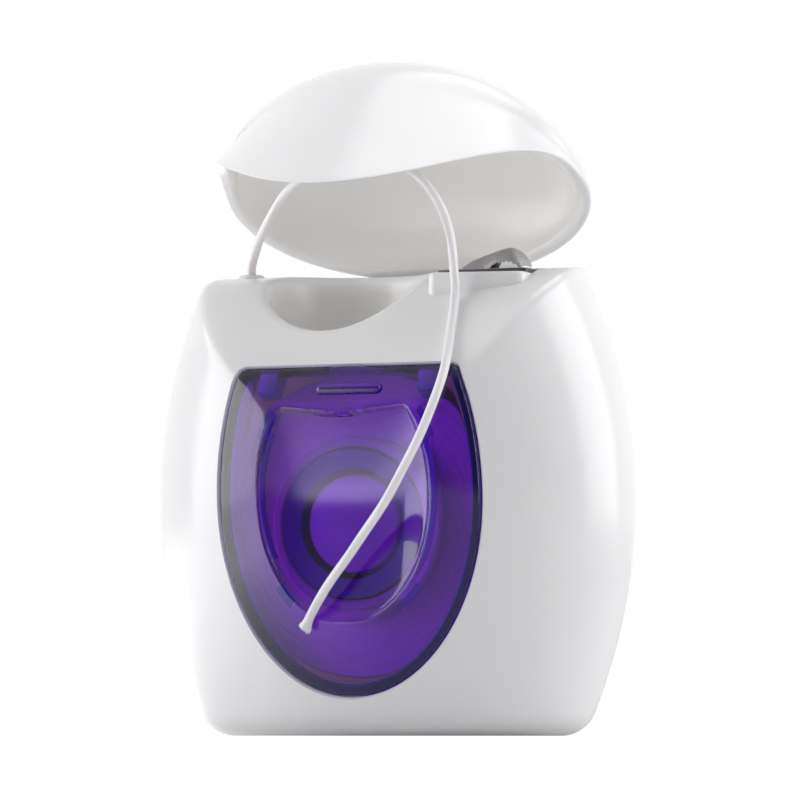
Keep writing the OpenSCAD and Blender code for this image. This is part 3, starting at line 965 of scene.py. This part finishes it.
def makeBlade():
    b = blade
    (x0, y0), (x1, y1) = b["low"], b["high"]
    bm = roundedBlock([(x0, y0), (x1, y0), (x1, y1), (x0, y1)], b["base"], b["base"] + b["steel"], 0.5, 0.06)
    # the plate's side faces take a darker steel: painted shade on its edges
    for face in bm.faces:
        face.material_index = 1 if abs(face.normal.z) < 0.5 else 0
    crest = smoothCurve(b["crest"], 6)
    span = pathLengths(crest)[-1]
    middle, reach = (b["hoodFront"] + b["hoodBack"]) / 2, (b["hoodBack"] - b["hoodFront"]) / 2
    hood = bmesh.new()
    bmesh.ops.create_grid(hood, x_segments=64, y_segments=20, size=0.5)
    for v in hood.verts:
        x, lift = resample(crest, [(v.co.x + 0.5) * span])[0]
        across = v.co.y * 2
        opened = min(1, max(0, (x - b["openFrom"]) / b["openOver"]))
        # the front edge is bent down to the plate on the left and cut to teeth on the right, open at its back
        bent = abs(across) ** 2.5 * (1 - opened * (0.5 if across < 0 else 0.95))
        tooth = abs((x / b["toothPitch"]) % 1 - 0.5) * 2 * b["toothDepth"] * opened if across < -0.99 else 0
        v.co = (x, middle + across * reach, b["base"] + b["steel"] - 0.1 + lift * (1 - bent) - tooth)
    bmesh.ops.solidify(hood, geom=list(hood.faces), thickness=b["hoodSteel"])
    bmesh.ops.recalc_face_normals(hood, faces=hood.faces)
    addInto(bm, hood)
    piece = makePiece("cutterBlade", bm, [satinSteel, paintedShadeSteel], sharp=30)
    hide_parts("cutter_blade")
    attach(piece, "case")


makeBlade()
print("cutter: made")


# Studio: pale floor, white surroundings, large soft lamps on both sides and one above
studio = {"floorSize": 0.9, "ambient": 0.29, "frontWay": (0.37, -0.93, 0.0), "frontDark": 0.15,
          "floorGlow": 1.13, "floorLeft": 3.3, "floorRight": 0.6, "floorShare": 0.8, "aim": (0, 0, 0.03)}
# name, azimuth, elevation, distance, width, height, power
studioLamps = [("softboxLeft", -64, 15, 0.7, 0.54, 0.54, 3.0),
               ("softboxRight", 102, 18, 0.65, 0.44, 0.5, 2.3),
               ("topSoft", 150, 78, 0.7, 0.5, 0.5, 2.1)]


def addLamp(name, azimuth, elevation, distance, width, height, power):
    a, e, aim = math.radians(azimuth), math.radians(elevation), studio["aim"]
    place = (distance * math.sin(a) * math.cos(e), -distance * math.cos(a) * math.cos(e),
             distance * math.sin(e) + aim[2])
    lamp = bpy.data.objects.new(name, bpy.data.lights.new(name, "AREA"))
    lamp.data.shape = "RECTANGLE"
    lamp.data.size, lamp.data.size_y = width, height
    lamp.data.energy = power
    lamp.location = place
    lamp.rotation_euler = (Vector(aim) - Vector(place)).to_track_quat("-Z", "Y").to_euler()
    bpy.context.scene.collection.objects.link(lamp)


def addSurroundings():
    world = bpy.data.worlds.new("studioWhite")
    bpy.context.scene.world = world
    world.use_nodes = True
    tree = world.node_tree
    tree.nodes.clear()
    ray = addNode(tree, "ShaderNodeLightPath").outputs
    seen = addNode(tree, "ShaderNodeMath", {"operation": "MAXIMUM"},
                   links={0: ray["Is Camera Ray"], 1: ray["Is Glossy Ray"]})
    seen = addNode(tree, "ShaderNodeMath", {"operation": "MAXIMUM"},
                   links={0: seen.outputs["Value"], 1: ray["Is Transmission Ray"]})
    # the room in front of the object, which only reflections see, is darker than the white behind it
    way = addNode(tree, "ShaderNodeTexCoord").outputs["Generated"]
    ahead = addNode(tree, "ShaderNodeVectorMath", {"operation": "DOT_PRODUCT"}, {1: studio["frontWay"]},
                    {0: way})
    white = addNode(tree, "ShaderNodeMapRange", links={"Value": ahead.outputs["Value"]},
                    inputs={"From Min": 0.9, "From Max": 0.2, "To Min": studio["frontDark"], "To Max": 1.0})
    level = addNode(tree, "ShaderNodeMapRange", inputs={"To Min": studio["ambient"]},
                    links={"Value": seen.outputs["Value"], "To Max": white.outputs["Result"]})
    light = addNode(tree, "ShaderNodeBackground", inputs={"Color": (1, 1, 1, 1)},
                    links={"Strength": level.outputs["Result"]})
    out = addNode(tree, "ShaderNodeOutputWorld")
    tree.links.new(light.outputs["Background"], out.inputs["Surface"])


def paleFloor(name):
    # matt pale floor. The camera sees it with an even glow, and reflections see a painted pool of light on
    # it, brighter on the left, next to the larger lamp
    material, tree = newMaterial(name)
    ray = addNode(tree, "ShaderNodeLightPath").outputs
    matt = addNode(tree, "ShaderNodeBsdfDiffuse", inputs={"Color": srgb("#e4e4e4")})
    side = addNode(tree, "ShaderNodeSeparateXYZ", links={"Vector": objectPlace(tree)})
    pool = addNode(tree, "ShaderNodeMapRange", links={"Value": side.outputs["X"]},
                   inputs={"From Min": -0.1, "From Max": 0.0, "To Min": studio["floorLeft"],
                           "To Max": studio["floorRight"]})
    bright = addNode(tree, "ShaderNodeMapRange", inputs={"To Min": studio["floorGlow"]},
                     links={"Value": ray["Is Glossy Ray"], "To Max": pool.outputs["Result"]})
    glow = addNode(tree, "ShaderNodeEmission", inputs={"Color": (1, 1, 1, 1)},
                   links={"Strength": bright.outputs["Result"]})
    share = addNode(tree, "ShaderNodeMath", {"operation": "MULTIPLY_ADD"}, {1: studio["floorShare"]},
                    {0: ray["Is Camera Ray"], 2: ray["Is Glossy Ray"]})
    mix = addNode(tree, "ShaderNodeMixShader",
                  links={0: share.outputs["Value"], 1: matt.outputs["BSDF"], 2: glow.outputs["Emission"]})
    setOutput(tree, mix.outputs["Shader"])
    return material


def addStudio():
    bpy.context.scene.view_settings.view_transform = "Standard"
    addSurroundings()
    bm = bmesh.new()
    bmesh.ops.create_grid(bm, x_segments=1, y_segments=1, size=studio["floorSize"] / 2)
    mesh = bpy.data.meshes.new("studioFloor")
    bm.to_mesh(mesh)
    bm.free()
    floor = bpy.data.objects.new("studioFloor", mesh)
    bpy.context.scene.collection.objects.link(floor)
    mesh.materials.append(paleFloor("paleFloor"))
    for lamp in studioLamps:
        addLamp(*lamp)


addStudio()
print("studio: lit")
